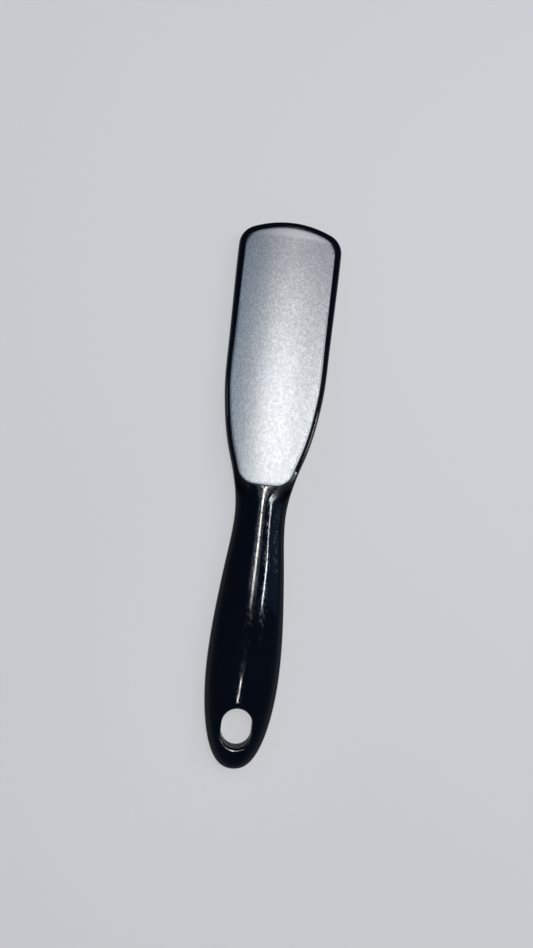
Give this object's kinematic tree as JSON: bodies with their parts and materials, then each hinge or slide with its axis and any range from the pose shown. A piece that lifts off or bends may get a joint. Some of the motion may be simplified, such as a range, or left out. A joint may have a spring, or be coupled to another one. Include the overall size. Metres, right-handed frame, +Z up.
{
  "type": "foot file",
  "caption": "Two-sided hand-held foot file: a slim moulded handle with a hang slot and a paddle head that holds a crowned metal file plate on each face.",
  "frame": {"origin": "on the surface that the file lies on, below the middle of its length and width", "axes": "+X across the file, +Y along it from the butt of the handle to the tip of the head, +Z up through the face with the fine plate"},
  "size_m": [0.0444, 0.225, 0.012],
  "materials": {
    "black_shell": "gloss, moulded, faint orange peel",
    "fine_file_metal": "satin, with fine raised teeth",
    "coarse_file_metal": "satin, with coarse raised teeth",
    "adhesive": "matt"
  },
  "bodies": {
    "root": {"front_shell": "black_shell", "back_shell": "black_shell", "fine_plate": "fine_file_metal", "coarse_plate": "coarse_file_metal", "fine_plate_tape": "adhesive", "coarse_plate_tape": "adhesive"}
  },
  "joints": []
}
